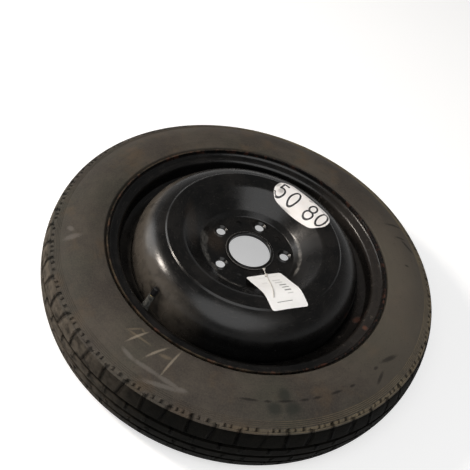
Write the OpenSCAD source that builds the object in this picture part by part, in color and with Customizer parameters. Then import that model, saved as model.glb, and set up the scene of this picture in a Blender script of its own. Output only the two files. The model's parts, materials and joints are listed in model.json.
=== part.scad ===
// Temporary spare wheel: a pressed steel wheel with a narrow tyre, lying on its inboard side.
// Millimetres. The origin is the centre of the bore on the inboard hub face, +Z points outboard,
// and +X runs through a stud hole.

/* [Rim] */
// Nominal diameter at the bead seats
bead_seat_d = 405.6; // [380:0.2:432]
// Width between the flanges
rim_w = 101.6; // [96:0.2:128]
// Sheet thickness of the rim
rim_t = 2.6; // [2:0.1:3.5]
// Height of the flange above the bead seat
flange_h = 17.3; // [14:0.1:20]
// Distance from the rim's centre plane outboard to the hub face
wheel_offset = 50; // [40:1:55]
// Angle of the well's walls from the radial plane
well_angle = 24; // [18:1:30]

/* [Disc] */
// Sheet thickness of the disc
disc_t = 3.4; // [2.8:0.1:4.5]
// Outer diameter of the disc's weld flange, which fills the rim's well
disc_d = 356.8; // [352:0.2:360]
// Diameter of the centre bore
bore_d = 66.6; // [54:0.1:72]
// Height of the rolled collar round the bore, from the inboard face
collar_h = 7; // [5:0.5:12]
// Pitch circle diameter of the stud holes
stud_pcd = 112; // [100:0.1:120]
// Number of stud holes
stud_count = 5; // [4:1:6]
// Diameter of a stud hole
stud_hole_d = 14.5; // [12.5:0.1:16]
// Radius of the flat hub pad
pad_r = 72; // [66:1:76]
// Height of the crown above the inboard hub face
crown_h = 39.8; // [34:0.2:46]
// Radius of the crease round the crown
crease_r = 133.4; // [126:0.2:140]

/* [Tyre] */
// Outer diameter of the tyre
tyre_d = 622; // [600:1:660]
// Section width of the tyre
tyre_w = 129; // [124:1:145]
// Thickness of the casing under the tread grooves
crown_t = 6; // [4:0.5:9]
// Depth of the tread pattern
tread_depth = 4.5; // [2:0.5:7]
// Width of a circumferential groove
groove_w = 6; // [4:0.5:9]
// Pairs of one short and one long pitch round the tread
tread_pairs = 29; // [24:1:34]
// Width of a slot across the shoulder
slot_w = 4; // [2.5:0.1:5]
// Width of a slot in the ribs beside the middle groove
rib_slot_w = 3; // [2:0.1:4]

/* [Valve] */
// Angle of the valve round the wheel
valve_angle = -142.5; // [-180:0.5:180]
// Radius at which the valve hole lies
valve_r = 192; // [190:0.5:193]
// Diameter of the valve hole
valve_hole_d = 11.3; // [10.5:0.1:12]
// Length of the valve outside the rim
valve_len = 39; // [32:1:42]
// Outer diameter of the valve's thread
valve_thread_d = 7.7; // [7:0.1:8.5]
// Radial clearance between the cap and the thread
cap_clearance = 0.08; // [0.04:0.01:0.1]

/* [Label and tag] */
// Length of the speed label
label_l = 108; // [90:1:120]
// Width of the speed label
label_w = 44; // [36:1:48]
// Angle of the speed label round the wheel
label_angle = 47; // [0:1:90]
// Radius at which the label's middle lies
label_r = 116; // [112:1:124]
// Width of the paper tag
tag_w = 57; // [50:1:66]
// Diameter of the tag's string
string_d = 1.4; // [1:0.1:2]

/* [Hidden] */
$fn = 96;
seat_gap = 0.15;

// Segments in a fillet, by its turn
fillet_step = 12;

// Rim, measured from its own centre plane
mid_z = -wheel_offset;
seat_r = bead_seat_d / 2;
seat_line_r = seat_r - rim_t / 2;
flange_line_z = rim_w / 2 + rim_t / 2;
lip_line_r = seat_r + flange_h - rim_t / 2;
lip_z = flange_line_z + 9.9;
curl_r = 8;
heel_r = 6.5;
ledge_line_r = seat_line_r - 1.7;
ledge_z = flange_line_z - 22.9;
well_line_r = disc_d / 2 + rim_t / 2;
well_z = ledge_z - (ledge_line_r - well_line_r) * tan(well_angle);

// Disc, with its middle surface between the faces
half_t = disc_t / 2;
bore_r = bore_d / 2;
bowl_r = pad_r + 7.5;
bowl_z = half_t + 9.8;
crown_r = crease_r - 21.9;
crown_line_z = crown_h - half_t - 2.5;
crease_line_z = crown_h - half_t - 0.1;
wall_line_r = disc_d / 2 - half_t;
dome_slope = 18;
dome_r = ((wall_line_r - crease_r) / cos(dome_slope) - 1.5) / tan(45 - dome_slope / 2);
dome_z = crease_line_z - (wall_line_r - crease_r) * tan(dome_slope);
skirt_z = mid_z - 8;
collar_t = 3.4;
nut_seat_r = 10.2;

// Tyre, measured from its own centre plane
tyre_r = tyre_d / 2;
tread_half = 41;
crown_curve = 130;
shoulder_r = tyre_r - 8.2;
shoulder_z = tread_half + 4;
belly_r = (tyre_r + seat_r) / 2 + 3;
belly_z = tyre_w / 2 + 3.7;
bead_z = rim_w / 2 - seat_gap;
bead_r = seat_r + seat_gap;
liner_r = tyre_r - crown_t - tread_depth;

// Tread slots, whose floors run out on the sidewall just below the shoulder
groove_z = 19;
pair_turn = 360 / tread_pairs;
short_pitch_turn = 5.6;
first_pair_angle = -86.2;
slot_floor_r = tyre_r - 5.2;
slot_slope = 16.6;
slot_lean = 14;
lean_turn = 1.2;
rib_slot_turn = 2.2;
lower_half_turn = 1.5;

// Valve, with its own Z along the stem and zero on the rim's outer surface
valve_z = mid_z + ledge_z - (ledge_line_r - valve_r) * tan(well_angle);
thread_r = valve_thread_d / 2;
cap_bore_r = thread_r + cap_clearance;
cap_r = cap_bore_r + 0.7;
core_r = 2.4;

// Tag, as a card that climbs the bowl and lies over the crown
tag_angle = -70.5;
tag_shift = 3.5;
tag_t = 0.4;
tag_path = [[49.5, 5.6, 0], [106, 39.9, 45], [137.5, 41.4, 0]];
tag_corner = 4;
tag_hole_s = 55;
tag_hole_shift = 6;

// Route of the string: once round the collar, then out over the tag's hole, and its loose tail
loop_r = bore_r + collar_t + string_d / 2 + seat_gap;
loop_z = disc_t + 1.7;
string_loop = [for (i = [0:56]) let (a = -54 + i * 352 / 56) [loop_r * cos(a), loop_r * sin(a), loop_z]];
string_tail = [[19.1, -32.8, 5.1], [20.7, -33.2, 5.2], [21.9, -34.4, 5.3], [22.3, -35.7, 5.5],
               [22.5, -38.4, 5.9], [22.9, -41.4, 6.7], [23.4, -44.6, 8], [23.8, -47.8, 9.4],
               [24, -50.6, 10.8], [24.4, -56, 13.8], [24.8, -64, 18.4], [25.2, -74, 24.2],
               [25.4, -84, 30], [25.2, -94, 35.8], [24.8, -104, 39.9], [24.5, -113.5, 41.4]];

function unit(v) = v / norm(v);
function left_of(v) = [-v[1], v[0]];
function turned(v, a) = [v[0] * cos(a) - v[1] * sin(a), v[0] * sin(a) + v[1] * cos(a)];
function backwards(list) = [for (i = [len(list) - 1:-1:0]) list[i]];

// Points of one rounded corner, moved sideways by off
function corner(before, at, after, r, off) =
    let (a = unit(at - before),
         b = unit(after - at),
         side = a[0] * b[1] - a[1] * b[0] > 0 ? 1 : -1,
         turn = acos(max(-1, min(1, a * b))),
         steps = r == 0 ? 0 : max(2, ceil(turn / fillet_step)),
         start = at - a * r * tan(turn / 2),
         centre = start + left_of(a) * side * r,
         spoke = -left_of(a) * side * (r - side * off))
    r == 0 ? [at + (left_of(a) + left_of(b)) * off / (1 + a * b)]
           : [for (i = [0:steps]) centre + turned(spoke, side * turn * i / steps)];

// A path of [x, y, fillet] points, moved sideways by off
function moved(path, off) =
    let (p = [for (v = path) [v[0], v[1]]],
         last = len(p) - 1)
    concat([p[0] + left_of(unit(p[1] - p[0])) * off],
           [for (i = [1:last - 1]) each corner(p[i - 1], p[i], p[i + 1], path[i][2], off)],
           [p[last] + left_of(unit(p[last] - p[last - 1])) * off]);

// Outline of a sheet that follows a path, between two sideways distances
function sheet(path, low, high) = concat(moved(path, low), backwards(moved(path, high)));

function mirrored(path) = [for (v = backwards(path)) [v[0], -v[1], v[2]]];

rim_half = [[ledge_line_r, ledge_z, 4],
            [seat_line_r, flange_line_z, heel_r],
            [lip_line_r, flange_line_z, curl_r],
            [lip_line_r, lip_z, 0]];
rim_path = concat(mirrored(rim_half), [[well_line_r, -well_z, 5], [well_line_r, well_z, 5]], rim_half);

disc_path = [[bore_r + collar_t / 2, half_t, 0],
             [pad_r, half_t, 5],
             [bowl_r, bowl_z, 10],
             [crown_r, crown_line_z, 16],
             [crease_r, crease_line_z, 3],
             [wall_line_r, dome_z, dome_r],
             [wall_line_r, skirt_z, 0]];

function crown_arc(r, half, count) =
    [for (i = [-count:count]) let (z = half * i / count) [r - z * z / (2 * crown_curve), z, 0]];

tyre_outer_half = [[shoulder_r, shoulder_z, 5],
                   [belly_r, belly_z, 75],
                   [lip_line_r + 5, lip_z + 0.8, 2],
                   [lip_line_r + rim_t / 2 + 0.5, bead_z, curl_r + 1.8],
                   [bead_r, bead_z, heel_r - rim_t / 2 - seat_gap],
                   [bead_r - 1.5, bead_z - 17, 1.5],
                   [bead_r + 5, bead_z - 16, 3],
                   [bead_r + 20, bead_z - 5, 14],
                   [belly_r, belly_z - 8, 62],
                   [liner_r - 4.5, tread_half, 12]];
tyre_path = concat(crown_arc(tyre_r, tread_half - 1, 7),
                   tyre_outer_half,
                   backwards(crown_arc(liner_r, tread_half - 15, 3)),
                   mirrored(tyre_outer_half));

module revolve(points) {
    rotate_extrude($fn = 180) polygon(points);
}

// A tube between two radii and two heights
module ring(r_in, r_out, low, high) {
    difference() {
        translate([0, 0, low]) cylinder(r = r_out, h = high - low);
        translate([0, 0, low - 1]) cylinder(r = r_in, h = high - low + 2);
    }
}

module at_each_stud() {
    for (i = [0:stud_count - 1]) rotate([0, 0, i * 360 / stud_count]) translate([stud_pcd / 2, 0, 0]) children();
}

module on_valve() {
    rotate([0, 0, valve_angle]) translate([valve_r, 0, valve_z]) rotate([0, -well_angle, 0])
        translate([0, 0, rim_t / 2]) children();
}

module tyre() {
    color("#3b3833") translate([0, 0, mid_z]) difference() {
        revolve(moved(tyre_path, 0));
        for (z = [-1, 0, 1] * groove_z)
            ring(tyre_r - tread_depth - z * z / (2 * crown_curve), tyre_r + 5, z - groove_w / 2, z + groove_w / 2);
        for (i = [0:tread_pairs - 1]) rotate([0, 0, first_pair_angle + i * pair_turn]) {
            tread_slots(slot_lean, lean_turn);
            rotate([0, 0, short_pitch_turn]) tread_slots(0, 0);
        }
    }
}

// The slots of one pitch in both halves of the tread; the lower ones lie a little further round
module tread_slots(lean, inner_turn) {
    rotate([0, 0, -inner_turn]) shoulder_slot(-lean);
    rotate([0, 0, rib_slot_turn]) rib_slot();
    rotate([0, 0, lower_half_turn]) mirror([0, 0, 1]) {
        rotate([0, 0, inner_turn]) shoulder_slot(lean);
        rotate([0, 0, rib_slot_turn]) rib_slot();
    }
}

// A slot from an outer groove over the shoulder
module shoulder_slot(lean) {
    translate([slot_floor_r, 0, groove_z + groove_w / 2]) rotate([lean, -slot_slope, 0])
        translate([0, -slot_w / 2, -1]) cube([14, slot_w, 30]);
}

// A shorter slot in the rib beside the middle groove, open to the outer groove
module rib_slot() {
    translate([tyre_r - tread_depth + 0.3, -rib_slot_w / 2, groove_w])
        cube([8, rib_slot_w, groove_z - groove_w]);
}

module rim() {
    color("#1b1c1d") difference() {
        translate([0, 0, mid_z]) revolve(sheet(rim_path, -rim_t / 2, rim_t / 2));
        on_valve() translate([0, 0, -12]) cylinder(d = valve_hole_d, h = 20);
    }
}

// A nut seat pressed up round each stud hole
module nut_seat() {
    translate([0, 0, disc_t - 0.5]) cylinder(r1 = nut_seat_r + 3, r2 = nut_seat_r + 1, h = 2.2);
}

module disc() {
    color("#1b1c1d") difference() {
        union() {
            revolve(sheet(disc_path, -half_t, half_t));
            revolve([[bore_r, 0], [bore_r + collar_t + 1, 0], [bore_r + collar_t + 1, disc_t],
                     [bore_r + collar_t, disc_t + 1.4], [bore_r + collar_t, collar_h - 1],
                     [bore_r + collar_t - 1, collar_h], [bore_r, collar_h]]);
            at_each_stud() nut_seat();
            rotate([0, 0, 180 / stud_count]) at_each_stud() pad_bump();
        }
        at_each_stud() translate([0, 0, -1]) cylinder(d = stud_hole_d, h = 12);
        at_each_stud() translate([0, 0, disc_t - 1.2])
            cylinder(r1 = stud_hole_d / 2, r2 = nut_seat_r + 0.35, h = 3);
    }
}

// A round bump pressed into the pad between two stud holes
module pad_bump() {
    translate([0, 0, disc_t]) intersection() {
        translate([0, 0, -10.2]) sphere(r = 12);
        translate([0, 0, -1]) cylinder(r = 8, h = 4);
    }
}

// Fillet welds where the disc's skirt ends on the well, in arcs with gaps between them
module weld_beads() {
    weld_r = disc_d / 2;
    color("#2a2320") for (i = [0:7]) rotate([0, 0, i * 45 + 8])
        rotate_extrude(angle = 29, $fn = 180)
            polygon([[weld_r - 0.1, skirt_z], [weld_r - 0.1, skirt_z - 4], [weld_r - 1.6, skirt_z - 2.8],
                     [weld_r - disc_t, skirt_z]]);
}

module valve_body() {
    hole_r = valve_hole_d / 2 - 0.05;
    under = -rim_t - seat_gap;
    color("#161616") on_valve() difference() {
        rotate_extrude() polygon([[0, under - 5], [5.5, under - 5], [7.4, under - 3], [7.4, under],
                                  [hole_r, under], [hole_r, seat_gap], [7.1, seat_gap], [7.1, 2.4],
                                  [6.2, 5], [5, 15], [4.5, valve_len - 11], [0, valve_len - 11]]);
        stem_outline(0.02);
    }
}

// The outside of the brass stem, grown by a little for the rubber moulded round it
module stem_outline(grow) {
    translate([0, 0, -8.5]) cylinder(r = 3.1 + grow, h = valve_len);
    translate([0, 0, valve_len - 11 - grow]) cylinder(r = thread_r + grow, h = 11 + grow);
}

module valve_stem() {
    color("#b39a5e") on_valve() difference() {
        union() {
            translate([0, 0, -7]) cylinder(r = 3.1, h = valve_len - 3.5);
            translate([0, 0, valve_len - 11]) cylinder(r = thread_r, h = 10.4);
            translate([0, 0, valve_len - 0.6]) cylinder(r1 = thread_r, r2 = thread_r - 0.6, h = 0.6);
        }
        translate([0, 0, -8]) cylinder(r = 1.5, h = valve_len);
        translate([0, 0, valve_len - 22]) cylinder(r = 1.9, h = 30);
        translate([0, 0, valve_len - 12]) cylinder(r1 = 1.9, r2 = core_r + 0.05, h = 1.5);
        translate([0, 0, valve_len - 10.5]) cylinder(r = core_r + 0.05, h = 12);
    }
}

module valve_core_barrel() {
    color("#c9b06a") on_valve() difference() {
        union() {
            translate([0, 0, valve_len - 5.5]) cylinder(r = core_r, h = 4.5);
            translate([0, 0, valve_len - 14]) cylinder(r = 1.35, h = 9);
        }
        translate([0, 0, valve_len - 15]) cylinder(r = 0.6, h = 20);
        translate([0, 0, valve_len - 5]) cylinder(r = 1.25, h = 6);
        translate([-3, -3, valve_len - 2.6]) cube([1.9, 6, 3]);
        translate([1.1, -3, valve_len - 2.6]) cube([1.9, 6, 3]);
    }
}

module valve_core_seal() {
    color("#a83a2a") on_valve() translate([0, 0, valve_len - 11.4]) difference() {
        cylinder(r1 = 1.8, r2 = 2.25, h = 1.6);
        translate([0, 0, -1]) cylinder(r = 1.38, h = 4);
    }
}

module valve_core_pin() {
    color("#c9b06a") on_valve() union() {
        translate([0, 0, valve_len - 16.2]) cylinder(r = 0.52, h = 15.8);
        translate([0, 0, valve_len - 1.2]) cylinder(r = 0.9, h = 0.9);
        translate([0, 0, valve_len - 16.6]) cylinder(r = 1.5, h = 1);
    }
}

module valve_core_cup_seal() {
    color("#2b2b2b") on_valve() translate([0, 0, valve_len - 15.6]) difference() {
        cylinder(r = 1.45, h = 1.3);
        translate([0, 0, -1]) cylinder(r = 0.54, h = 4);
    }
}

// The spring's outer shape, a thin sleeve round the pin that rests in the barrel
module valve_core_spring() {
    color("#b8b8b4") on_valve() translate([0, 0, valve_len - 5]) difference() {
        cylinder(r = 1.1, h = 2.5);
        translate([0, 0, -1]) cylinder(r = 0.75, h = 5);
    }
}

module valve_cap() {
    color("#101010") on_valve() difference() {
        union() {
            translate([0, 0, valve_len - 9.6]) cylinder(r = cap_r, h = 11);
            translate([0, 0, valve_len + 1.4]) cylinder(r1 = cap_r, r2 = cap_r - 0.8, h = 0.8);
        }
        translate([0, 0, valve_len - 10]) cylinder(r = cap_bore_r, h = 11);
        for (i = [0:11]) rotate([0, 0, i * 30]) translate([cap_r + 0.25, 0, valve_len - 7.6])
            cylinder(r = 0.6, h = 12, $fn = 24);
    }
}

module valve_cap_seal() {
    color("#8c2f24") on_valve() translate([0, 0, valve_len + 0.1]) difference() {
        cylinder(r = cap_bore_r - 0.1, h = 0.8);
        translate([0, 0, -1]) cylinder(r = 1.6, h = 3);
    }
}

// A thin skin that follows the disc, cut to a round-ended bar
module speed_label() {
    color("#e9e8e4") intersection() {
        revolve(sheet(disc_path, half_t + 0.05, half_t + 0.4));
        rotate([0, 0, label_angle]) translate([label_r, 0, 20]) linear_extrude(30) union() {
            square([label_w, label_l - label_w], center = true);
            for (side = [-1, 1]) translate([0, side * (label_l - label_w) / 2]) circle(d = label_w);
        }
    }
}

module on_tag() {
    rotate([0, 0, tag_angle]) translate([0, tag_shift, 0]) children();
}

// The tag's plan, with rounded corners and its string hole
module tag_plan() {
    low = tag_path[0][0];
    high = tag_path[2][0];
    difference() {
        union() {
            translate([low, -tag_w / 2 + tag_corner]) square([high - low, tag_w - 2 * tag_corner]);
            translate([low + tag_corner, -tag_w / 2]) square([high - low - 2 * tag_corner, tag_w]);
            for (x = [low + tag_corner, high - tag_corner])
                for (y = [-1, 1]) translate([x, y * (tag_w / 2 - tag_corner)]) circle(r = tag_corner, $fn = 32);
        }
        translate([tag_hole_s, tag_hole_shift - tag_shift]) circle(r = 2.2, $fn = 32);
    }
}

module stock_tag() {
    color("#f2f1ee") on_tag() intersection() {
        translate([0, tag_w / 2, 0]) rotate([90, 0, 0])
            linear_extrude(tag_w) polygon(sheet(tag_path, -tag_t / 2, tag_t / 2));
        linear_extrude(60) tag_plan();
    }
}

// A round cord along its points, as one closed mesh
module cord(points, d, sides) {
    last = len(points) - 1;
    way = [for (i = [0:last]) unit(points[min(i + 1, last)] - points[max(i - 1, 0)])];
    across = [for (v = way) unit(cross(v, abs(v[0]) > 0.9 ? [0, 1, 0] : [1, 0, 0]))];
    rings = [for (i = [0:last]) for (k = [0:sides - 1])
        points[i] + d / 2 * (cos(k * 360 / sides) * across[i] + sin(k * 360 / sides) * cross(way[i], across[i]))];
    walls = [for (i = [0:last - 1]) for (k = [0:sides - 1]) let (n = (k + 1) % sides)
        [i * sides + k, (i + 1) * sides + k, (i + 1) * sides + n, i * sides + n]];
    polyhedron(rings, concat(walls, [[for (k = [0:sides - 1]) k]],
                             [[for (k = [sides - 1:-1:0]) last * sides + k]]));
}

module tag_string() {
    color("#cfcac0") cord(concat(string_loop, string_tail), string_d, 8);
}

tyre();
rim();
disc();
weld_beads();
valve_body();
valve_stem();
valve_core_barrel();
valve_core_seal();
valve_core_pin();
valve_core_cup_seal();
valve_core_spring();
valve_cap();
valve_cap_seal();
speed_label();
stock_tag();
tag_string();
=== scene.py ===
# A temporary spare wheel: moulded tyre, rolled rim, pressed disc, valve, tag, string and speed label.
import json
import math

import bmesh
import bpy
from mathutils import Matrix, Vector
from mathutils.bvhtree import BVHTree


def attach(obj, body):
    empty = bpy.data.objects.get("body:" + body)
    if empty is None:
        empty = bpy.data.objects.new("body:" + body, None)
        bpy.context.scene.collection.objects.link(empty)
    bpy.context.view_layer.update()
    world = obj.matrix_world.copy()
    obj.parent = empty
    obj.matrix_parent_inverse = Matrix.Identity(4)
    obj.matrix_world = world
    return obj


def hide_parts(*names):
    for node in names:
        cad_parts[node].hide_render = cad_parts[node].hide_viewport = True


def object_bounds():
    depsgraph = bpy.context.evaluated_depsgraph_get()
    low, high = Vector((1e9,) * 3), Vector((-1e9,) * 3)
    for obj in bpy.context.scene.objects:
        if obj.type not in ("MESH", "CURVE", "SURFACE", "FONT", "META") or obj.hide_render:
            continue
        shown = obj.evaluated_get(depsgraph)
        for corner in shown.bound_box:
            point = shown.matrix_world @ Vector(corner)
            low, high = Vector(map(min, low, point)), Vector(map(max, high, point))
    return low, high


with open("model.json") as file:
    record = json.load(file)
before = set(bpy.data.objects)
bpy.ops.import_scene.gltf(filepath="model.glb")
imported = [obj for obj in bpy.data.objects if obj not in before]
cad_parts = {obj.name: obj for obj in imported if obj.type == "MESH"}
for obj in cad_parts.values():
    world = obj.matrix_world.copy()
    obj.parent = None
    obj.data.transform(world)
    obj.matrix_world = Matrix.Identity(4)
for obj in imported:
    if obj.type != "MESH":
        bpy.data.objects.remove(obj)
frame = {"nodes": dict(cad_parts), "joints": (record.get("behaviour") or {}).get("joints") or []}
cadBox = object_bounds()
nodes = frame["nodes"]
millimetre = 0.001


# Node helpers

def colour(hexCode):
    channels = [int(hexCode[i:i + 2], 16) / 255 for i in (1, 3, 5)]
    return [c / 12.92 if c <= 0.04045 else ((c + 0.055) / 1.055) ** 2.4 for c in channels] + [1]


# Adds a node. An input is a value, a colour's hex code or another node's output.
def add(tree, kind, inputs, **settings):
    node = tree.nodes.new(kind)
    for key, value in settings.items():
        setattr(node, key, value)
    for key, value in inputs.items():
        if isinstance(value, bpy.types.NodeSocket):
            tree.links.new(value, node.inputs[key])
        else:
            node.inputs[key].default_value = colour(value) if isinstance(value, str) else value
    return node


def product(tree, first, *others):
    for other in others:
        first = add(tree, "ShaderNodeMath", {0: first, 1: other}, operation="MULTIPLY").outputs[0]
    return first


def largest(tree, first, *others):
    for other in others:
        first = add(tree, "ShaderNodeMath", {0: first, 1: other}, operation="MAXIMUM").outputs[0]
    return first


# Rises from 0 at low to 1 at high, or falls where low is the larger
def rise(tree, value, low, high):
    limits = {"Value": value, "From Min": low, "From Max": high}
    return add(tree, "ShaderNodeMapRange", limits, interpolation_type="SMOOTHSTEP").outputs[0]


def band(tree, value, low, high, soft):
    above = rise(tree, value, low - soft, low + soft)
    return product(tree, above, rise(tree, value, high + soft, high - soft))


# One colour or grey level over another; each is a hex code, a number or a node's output
def layer(tree, amount, under, over):
    under, over = ((level, level, level, 1) if isinstance(level, float) else level for level in (under, over))
    return add(tree, "ShaderNodeMix", {0: amount, 6: under, 7: over}, data_type="RGBA").outputs[2]


# Cloudy patches of about the given size in metres
def patches(tree, vector, size, low, high, detail=3):
    inputs = {"Vector": vector, "Scale": 1 / size, "Detail": detail, "Roughness": 0.6}
    return rise(tree, add(tree, "ShaderNodeTexNoise", inputs).outputs["Fac"], low, high)


# Where a point of the surface is on the wheel, with streak coordinates that run round the axis
def onWheel(tree):
    point = add(tree, "ShaderNodeTexCoord", {}).outputs["Object"]
    parts = add(tree, "ShaderNodeSeparateXYZ", {0: point}).outputs
    flat = add(tree, "ShaderNodeVectorMath", {0: point, 1: (1, 1, 0)}, operation="MULTIPLY").outputs[0]
    radius = add(tree, "ShaderNodeVectorMath", {0: flat}, operation="LENGTH").outputs["Value"]
    angle = add(tree, "ShaderNodeMath", {0: parts[1], 1: parts[0]}, operation="ARCTAN2").outputs[0]
    around = product(tree, angle, 0.02)
    streaks = add(tree, "ShaderNodeCombineXYZ", {0: radius, 1: around, 2: parts[2]}).outputs[0]
    fray = add(tree, "ShaderNodeTexNoise", {"Vector": point, "Scale": 700, "Detail": 4, "Roughness": 0.7})
    return {"point": point, "x": parts[0], "y": parts[1], "z": parts[2], "radius": radius, "streaks": streaks,
            "fray": fray.outputs["Fac"]}


# A frayed mark that tapers towards both ends, given in millimetres in the wheel's plan
def mark(tree, place, start, end, width, soft=0.5):
    middle = [(a + b) / 2 * millimetre for a, b in zip(start, end)]
    turn = math.atan2(end[1] - start[1], end[0] - start[0])
    size = (max(math.dist(start, end), width) / 2 * millimetre, width / 2 * millimetre, 10)
    local = add(tree, "ShaderNodeMapping", {"Vector": place["point"], "Location": (*middle, 0),
                                            "Rotation": (0, 0, turn), "Scale": size}, vector_type="TEXTURE")
    reach = add(tree, "ShaderNodeVectorMath", {0: local.outputs[0]}, operation="LENGTH").outputs["Value"]
    raggedness = 1.6
    edge = 1 + raggedness / 2
    inputs = {0: place["fray"], 1: raggedness, 2: reach}
    frayed = add(tree, "ShaderNodeMath", inputs, operation="MULTIPLY_ADD").outputs[0]
    return rise(tree, frayed, edge + soft, edge - soft)


def marks(tree, place, strokes):
    return largest(tree, *[mark(tree, place, *stroke) for stroke in strokes])


def newMaterial(name):
    material = bpy.data.materials.new(name)
    material.use_nodes = True
    tree = material.node_tree
    return material, tree, tree.nodes["Principled BSDF"]


def bump(tree, shader, height, distance, strength=1):
    node = add(tree, "ShaderNodeBump", {"Height": height, "Distance": distance, "Strength": strength})
    tree.links.new(node.outputs[0], shader.inputs["Normal"])


def feed(tree, shader, **sources):
    names = {"base": "Base Color", "roughness": "Roughness"}
    for key, socket in sources.items():
        tree.links.new(socket, shader.inputs[names[key]])


# Mesh helpers

def unit(vector):
    return Vector(vector).normalized()


# Points of a path of (x, y, fillet radius) with its corners rounded, moved to its left by off
def rounded(path, step=14, off=0):
    def leftOf(way):
        return Vector((-way.y, way.x))

    first, second, nextLast, last = (Vector(path[i][:2]) for i in (0, 1, -2, -1))
    points = [first + leftOf(unit(second - first)) * off]
    for before, at, after in zip(path, path[1:], path[2:]):
        corner = Vector(at[:2])
        into = unit(corner - Vector(before[:2]))
        out = unit(Vector(after[:2]) - corner)
        turn = into.angle(out)
        side = 1 if into.x * out.y - into.y * out.x > 0 else -1
        centre = corner - into * at[2] * math.tan(turn / 2) + leftOf(into) * side * at[2]
        spoke = -leftOf(into) * side * (at[2] - side * off)
        steps = max(2, math.ceil(math.degrees(turn) / step))
        for i in range(steps + 1):
            points.append(centre + Matrix.Rotation(side * turn * i / steps, 2) @ spoke)
    return points + [last + leftOf(unit(last - nextLast)) * off]


# A closed outline of (radius, height) points spun round the axis
def spunMesh(outline, steps):
    bm = bmesh.new()
    verts = [bm.verts.new((p[0], 0, p[1])) for p in outline]
    edges = [bm.edges.new((a, b)) for a, b in zip(verts, verts[1:] + verts[:1])]
    bmesh.ops.spin(bm, geom=edges, cent=(0, 0, 0), axis=(0, 0, 1), angle=2 * math.pi, steps=steps,
                   use_merge=True)
    bmesh.ops.recalc_face_normals(bm, faces=bm.faces)
    return bm


def finishMesh(bm, name, material, sharpAngle=35):
    bmesh.ops.recalc_face_normals(bm, faces=bm.faces)
    mesh = bpy.data.meshes.new(name)
    bm.to_mesh(mesh)
    bm.free()
    mesh.polygons.foreach_set("use_smooth", [True] * len(mesh.polygons))
    mesh.set_sharp_from_angle(angle=math.radians(sharpAngle))
    mesh.materials.append(material)
    piece = bpy.data.objects.new(name, mesh)
    bpy.context.scene.collection.objects.link(piece)
    return piece


# Cuts one piece with another, which goes
def carve(piece, cutter, sharpAngle):
    carving = piece.modifiers.new("carve", "BOOLEAN")
    carving.operation = "DIFFERENCE"
    carving.object = cutter
    carving.solver = "EXACT"
    bpy.context.view_layer.update()
    mesh = bpy.data.meshes.new_from_object(piece.evaluated_get(bpy.context.evaluated_depsgraph_get()))
    piece.modifiers.clear()
    piece.data = mesh
    mesh.name = piece.name
    mesh.polygons.foreach_set("use_smooth", [True] * len(mesh.polygons))
    mesh.set_sharp_from_angle(angle=math.radians(sharpAngle))
    bpy.data.objects.remove(cutter)


# A tube along points, whose section may have twisted lobes
def tube(bm, points, radius, sides, lobes=0, lobeDepth=0, twistLength=1):
    rings = []
    travelled = 0
    ahead = unit(points[1] - points[0])
    across = ahead.orthogonal().normalized()
    for i, point in enumerate(points):
        if i:
            travelled += (point - points[i - 1]).length
        way = unit(points[min(i + 1, len(points) - 1)] - points[max(i - 1, 0)])
        across = unit(across - way * across.dot(way))
        other = way.cross(across)
        ring = []
        for k in range(sides):
            angle = 2 * math.pi * k / sides
            wave = math.cos(lobes * angle - 2 * math.pi * travelled / twistLength) if lobes else 1
            reach = radius - lobeDepth * (1 - wave) / 2
            ring.append(bm.verts.new(point + reach * (math.cos(angle) * across + math.sin(angle) * other)))
        rings.append(ring)
    for first, second in zip(rings, rings[1:]):
        for k in range(sides):
            n = (k + 1) % sides
            bm.faces.new((first[k], first[n], second[n], second[k]))
    bm.faces.new(rings[0])
    bm.faces.new(rings[-1])


# Points every step along a smooth curve through the given ones
def smoothRoute(points, step):
    route = []
    for i in range(len(points) - 1):
        before, after = points[max(i - 1, 0)], points[min(i + 2, len(points) - 1)]
        start, end = points[i], points[i + 1]
        count = max(1, round((end - start).length / step))
        for k in range(count):
            t = k / count
            bend = 2 * before - 5 * start + 4 * end - after
            twist = 3 * start - before - 3 * end + after
            route.append(0.5 * (2 * start + (end - before) * t + bend * t ** 2 + twist * t ** 3))
    return route + [points[-1]]


def routeLength(points):
    return sum((b - a).length for a, b in zip(points, points[1:]))


# Camera

print("camera")
viewpoint = {"place": (-0.2181, -0.7345, 0.8289), "towards": (0.17094, 0.66881, -0.72351),
             "up": (-0.15378, 0.74343, 0.65089), "lens": 55.65}
backward = -unit(viewpoint["towards"])
right = unit(Vector(viewpoint["up"]).cross(backward))
turned = Matrix((right, backward.cross(right), backward)).transposed().to_4x4()
cameraData = bpy.data.cameras.new("camera")
cameraData.lens = viewpoint["lens"]
cameraData.sensor_width = 36
cameraData.clip_start = 0.01
camera = bpy.data.objects.new("camera", cameraData)
camera.matrix_world = Matrix.Translation(viewpoint["place"]) @ turned
bpy.context.scene.collection.objects.link(camera)
bpy.context.scene.camera = camera


# String: once round the bore's collar, through the tag's hole and out over the tag

print("string")
cotton = {"diameter": 1.4, "loopRadius": 37.55, "height": 5.1, "start": -54, "sweep": 352, "count": 56,
          "step": 0.9, "sides": 12, "lobes": 3, "lobeDepth": 0.12, "twist": 5,
          "tail": [(19.1, -32.8, 5.1), (20.7, -33.2, 5.2), (21.9, -34.4, 5.3), (22.3, -35.7, 5.5),
                   (22.5, -38.4, 5.9), (22.9, -41.4, 6.7), (23.4, -44.6, 8), (23.8, -47.8, 9.4),
                   (24, -50.6, 10.8), (24.4, -56, 13.8), (24.8, -64, 18.4), (25.2, -74, 24.2),
                   (25.4, -84, 30), (25.2, -94, 35.8), (24.8, -104, 39.9), (24.5, -113.5, 41.4)],
          "knots": [(21.6, -34.2, 5.9), (23.8, -48.6, 10.7)], "knotSize": 0.62, "knotSteps": 48,
          "knotSides": 8}


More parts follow.
